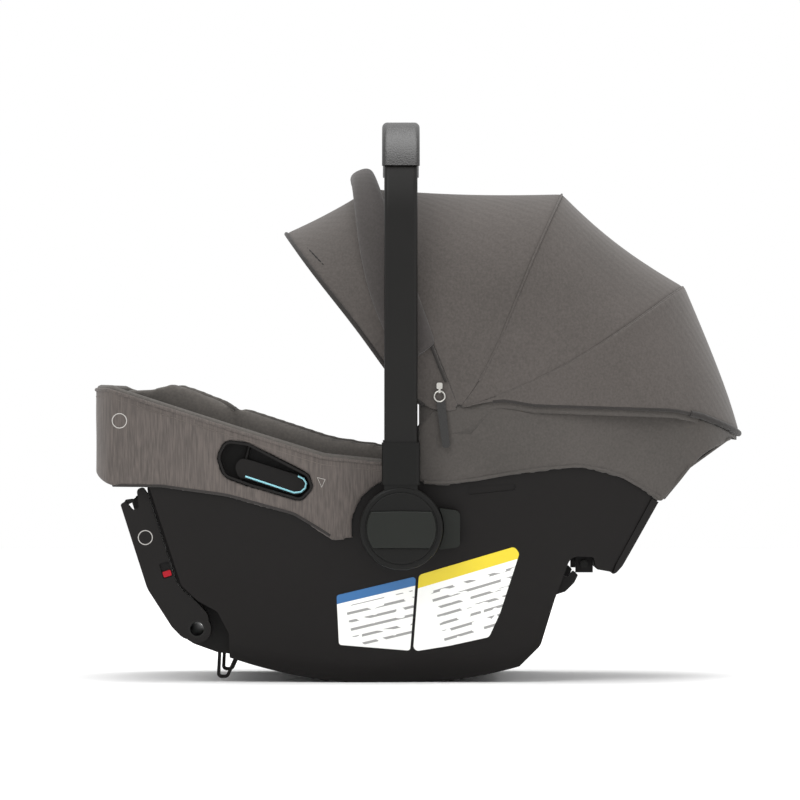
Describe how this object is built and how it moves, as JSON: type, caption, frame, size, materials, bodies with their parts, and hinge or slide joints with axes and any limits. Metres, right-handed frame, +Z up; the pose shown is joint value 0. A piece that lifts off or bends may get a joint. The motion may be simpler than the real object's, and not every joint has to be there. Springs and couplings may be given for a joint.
{
  "type": "infant car seat",
  "caption": "Rear-facing infant carrier with a swivelling carry handle, folding canopy, harness, padded seat and folding lower anchor arms.",
  "frame": {"origin": "on the standing surface under the middle of the carrier's box", "axes": "+X towards the head end, -X towards the foot end, -Y the seat's left side, +Z up"},
  "size_m": [0.6688, 0.436, 0.578],
  "materials": {
    "shell_plastic": "matte",
    "hub_plastic": "satin",
    "handle_plastic": "satin",
    "trim_plastic": "matte",
    "energy_foam": "matte",
    "canopy_fabric": "matte",
    "band_fabric": "matte",
    "front_fabric": "matte",
    "rear_fabric": "matte",
    "pad_fabric": "matte",
    "insert_fabric": "matte",
    "webbing": "matte",
    "grip_leatherette": "satin",
    "steel": "satin",
    "dark_steel": "satin",
    "button_red": "satin",
    "label_film": "satin"
  },
  "bodies": {
    "shell": {"shell_tub": "shell_plastic", "support_ribs": "shell_plastic", "foam_liner": "energy_foam", "rear_cover": "trim_plastic", "label_guide": "label_film", "label_warning": "label_film", "front_wrap": "front_fabric", "rear_wrap": "rear_fabric", "seat_pad": "pad_fabric", "infant_insert": "insert_fabric", "head_support": "insert_fabric", "harness_webbing": "webbing", "shoulder_pads": "insert_fabric", "chest_clip": "trim_plastic", "buckle_body": "trim_plastic", "buckle_tongues": "steel", "adjuster_frame": "trim_plastic", "hub_sockets": "hub_plastic", "hub_axles": "steel", "canopy_pivots": "trim_plastic", "canopy_tail_panel": "canopy_fabric", "latch_brackets": "trim_plastic", "release_pocket_left": "trim_plastic", "release_pocket_right": "trim_plastic", "front_foot_loops": "trim_plastic", "rear_brackets": "trim_plastic", "dock_bar": "dark_steel", "shell_screws": "steel"},
    "handle": {"handle_tube": "handle_plastic", "handle_grip": "grip_leatherette", "handle_hub_left": "hub_plastic", "handle_hub_right": "hub_plastic", "hub_caps": "hub_plastic", "button_springs": "steel"},
    "handle_button_left": {"handle_button_left": "hub_plastic"},
    "handle_button_right": {"handle_button_right": "hub_plastic"},
    "stroller_button_left": {"stroller_button_left": "trim_plastic"},
    "stroller_button_right": {"stroller_button_right": "trim_plastic"},
    "latch_arms": {"latch_cross_tube": "dark_steel", "latch_arm_left": "trim_plastic", "latch_arm_right": "trim_plastic"},
    "latch_hook_left": {"latch_hook_left": "dark_steel"},
    "latch_hook_right": {"latch_hook_right": "dark_steel"},
    "latch_slider_left": {"latch_slider_left": "button_red"},
    "latch_slider_right": {"latch_slider_right": "button_red"},
    "release_lever_left": {"release_lever_left": "trim_plastic"},
    "release_lever_right": {"release_lever_right": "trim_plastic"},
    "canopy_rear": {"canopy_rear_bow": "trim_plastic", "canopy_rear_panel": "canopy_fabric"},
    "canopy_mid": {"canopy_mid_bow": "trim_plastic", "canopy_mid_panel": "canopy_fabric"},
    "canopy_front": {"canopy_front_bow": "trim_plastic", "canopy_band": "band_fabric", "zip_slider": "steel", "canopy_visor_panel": "canopy_fabric"},
    "canopy_visor": {"canopy_visor_bow": "trim_plastic"},
    "zip_pull": {"zip_ring": "steel", "zip_pull_tab": "grip_leatherette"},
    "buckle_button": {"buckle_button": "button_red"},
    "adjuster_button": {"adjuster_button": "trim_plastic"}
  },
  "joints": [
    {"name": "handle_turn", "type": "hinge", "parent": "shell", "child": "handle", "pos_m": [-0.017, 0, 0.1595], "axis": [0, 1, 0], "range_deg": [-95, 105]},
    {"name": "handle_button_press_left", "type": "slide", "parent": "handle", "child": "handle_button_left", "axis": [0, 1, 0], "range_m": [0, 0.004], "stiffness_N_per_m": 600, "deforming": ["button_springs"]},
    {"name": "stroller_button_press_left", "type": "slide", "parent": "shell", "child": "stroller_button_left", "axis": [0, 1, 0], "range_m": [0, 0.004], "stiffness_N_per_m": 600},
    {"name": "handle_button_press_right", "type": "slide", "parent": "handle", "child": "handle_button_right", "axis": [0, -1, 0], "range_m": [0, 0.004], "stiffness_N_per_m": 600},
    {"name": "stroller_button_press_right", "type": "slide", "parent": "shell", "child": "stroller_button_right", "axis": [0, -1, 0], "range_m": [0, 0.004], "stiffness_N_per_m": 600},
    {"name": "latch_arms_fold", "type": "hinge", "parent": "shell", "child": "latch_arms", "pos_m": [-0.227, 0, 0.055], "axis": [0, -1, 0], "range_deg": [0, 86]},
    {"name": "latch_hook_turn_left", "type": "hinge", "parent": "latch_arms", "child": "latch_hook_left", "pos_m": [-0.28751, -0.14, 0.15745], "axis": [0, -1, 0], "range_deg": [0, 25], "stiffness_Nm_per_rad": 0.15},
    {"name": "latch_release_left", "type": "slide", "parent": "latch_arms", "child": "latch_slider_left", "axis": [-0.304, 0, 0.9527], "range_m": [0, 0.008], "stiffness_N_per_m": 150},
    {"name": "latch_hook_turn_right", "type": "hinge", "parent": "latch_arms", "child": "latch_hook_right", "pos_m": [-0.28751, 0.14, 0.15745], "axis": [0, -1, 0], "range_deg": [0, 25], "stiffness_Nm_per_rad": 0.15},
    {"name": "latch_release_right", "type": "slide", "parent": "latch_arms", "child": "latch_slider_right", "axis": [-0.304, 0, 0.9527], "range_m": [0, 0.008], "stiffness_N_per_m": 150},
    {"name": "release_lever_pull_left", "type": "hinge", "parent": "shell", "child": "release_lever_left", "pos_m": [-0.179, -0.16, 0.2195], "axis": [-0.2419, 0, -0.9703], "range_deg": [0, 20], "stiffness_Nm_per_rad": 0.6},
    {"name": "release_lever_pull_right", "type": "hinge", "parent": "shell", "child": "release_lever_right", "pos_m": [-0.179, 0.16, 0.2195], "axis": [0.2419, 0, 0.9703], "range_deg": [0, 20], "stiffness_Nm_per_rad": 0.6},
    {"name": "canopy_fold", "type": "hinge", "parent": "canopy_mid", "child": "canopy_front", "pos_m": [0.042, 0, 0.282], "axis": [0, 1, 0], "range_deg": [0, 29], "deforming": ["canopy_mid_panel"]},
    {"name": "canopy_mid_fold", "type": "hinge", "parent": "canopy_rear", "child": "canopy_mid", "pos_m": [0.042, 0, 0.282], "axis": [0, 1, 0], "range_deg": [0, 22.1], "deforming": ["canopy_rear_panel"]},
    {"name": "canopy_rear_fold", "type": "hinge", "parent": "shell", "child": "canopy_rear", "pos_m": [0.042, 0, 0.282], "axis": [0, 1, 0], "range_deg": [0, 12.1]},
    {"name": "visor_flip", "type": "hinge", "parent": "canopy_front", "child": "canopy_visor", "pos_m": [0.042, 0, 0.282], "axis": [0, 1, 0], "range_deg": [0, 8], "deforming": ["canopy_visor_panel"]},
    {"name": "zip_pull_swing", "type": "hinge", "parent": "canopy_front", "child": "zip_pull", "pos_m": [0.022, -0.1855, 0.2994], "axis": [-1, 0, 0], "range_deg": [0, 110]},
    {"name": "buckle_press", "type": "slide", "parent": "shell", "child": "buckle_button", "axis": [-0.2873, 0, -0.9578], "range_m": [0, 0.003], "stiffness_N_per_m": 600},
    {"name": "adjuster_press", "type": "slide", "parent": "shell", "child": "adjuster_button", "axis": [-0.6743, 0, -0.7385], "range_m": [0, 0.0025], "stiffness_N_per_m": 600}
  ],
  "couplings": [
    {"joint": "canopy_mid_fold", "follows": "canopy_fold", "ratio": 0.75862},
    {"joint": "canopy_rear_fold", "follows": "canopy_fold", "ratio": 0.41379}
  ]
}
